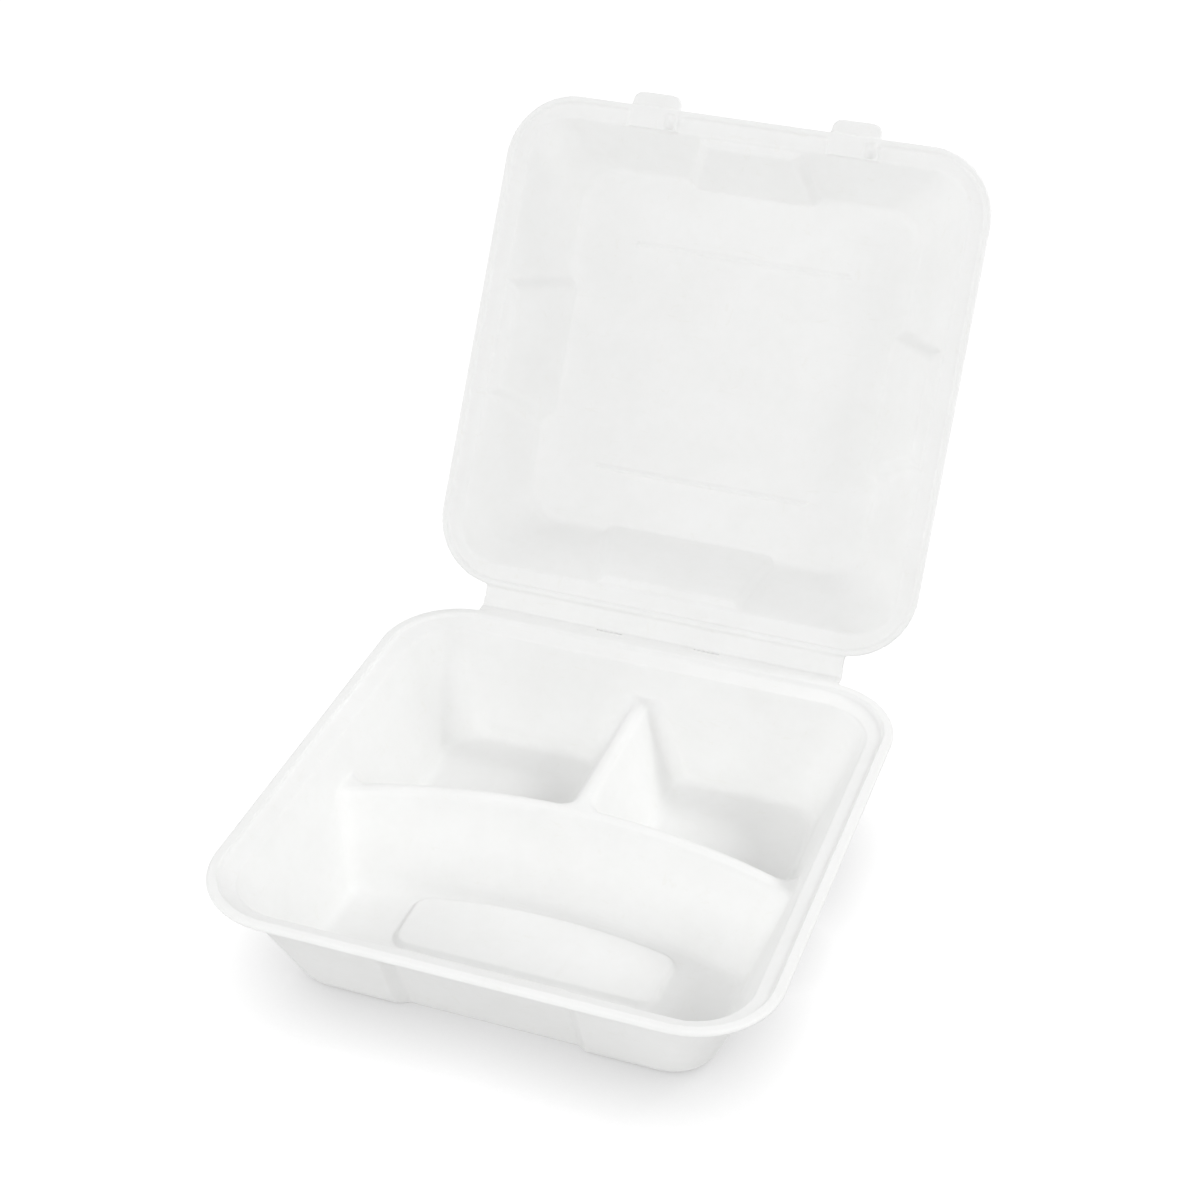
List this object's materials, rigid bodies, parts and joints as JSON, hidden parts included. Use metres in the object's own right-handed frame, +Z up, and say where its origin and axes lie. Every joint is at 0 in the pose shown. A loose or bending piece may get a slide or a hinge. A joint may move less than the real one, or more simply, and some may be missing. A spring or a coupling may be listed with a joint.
{
  "type": "hinged clamshell food container",
  "caption": "Open square clamshell food container of moulded plant fibre, a tray with raised dividers and a fold-over lid with closing tabs.",
  "frame": {"origin": "on the surface it stands on, in the middle of the front compartment's foot, 37 mm in front of the tray's centre", "axes": "+X across the tray to the right, +Y back towards the fold and the lid, +Z up"},
  "size_m": [0.203, 0.3184, 0.2279],
  "materials": {
    "moulded_fibre": "matte"
  },
  "bodies": {
    "tray": {"tray": "moulded_fibre"},
    "lid": {"lid": "moulded_fibre"}
  },
  "joints": [
    {"name": "lid_fold", "type": "hinge", "parent": "tray", "child": "lid", "pos_m": [0, 0.1427, 0.04855], "axis": [1, 0, 0], "range_deg": [-59.3, 120.7]}
  ]
}
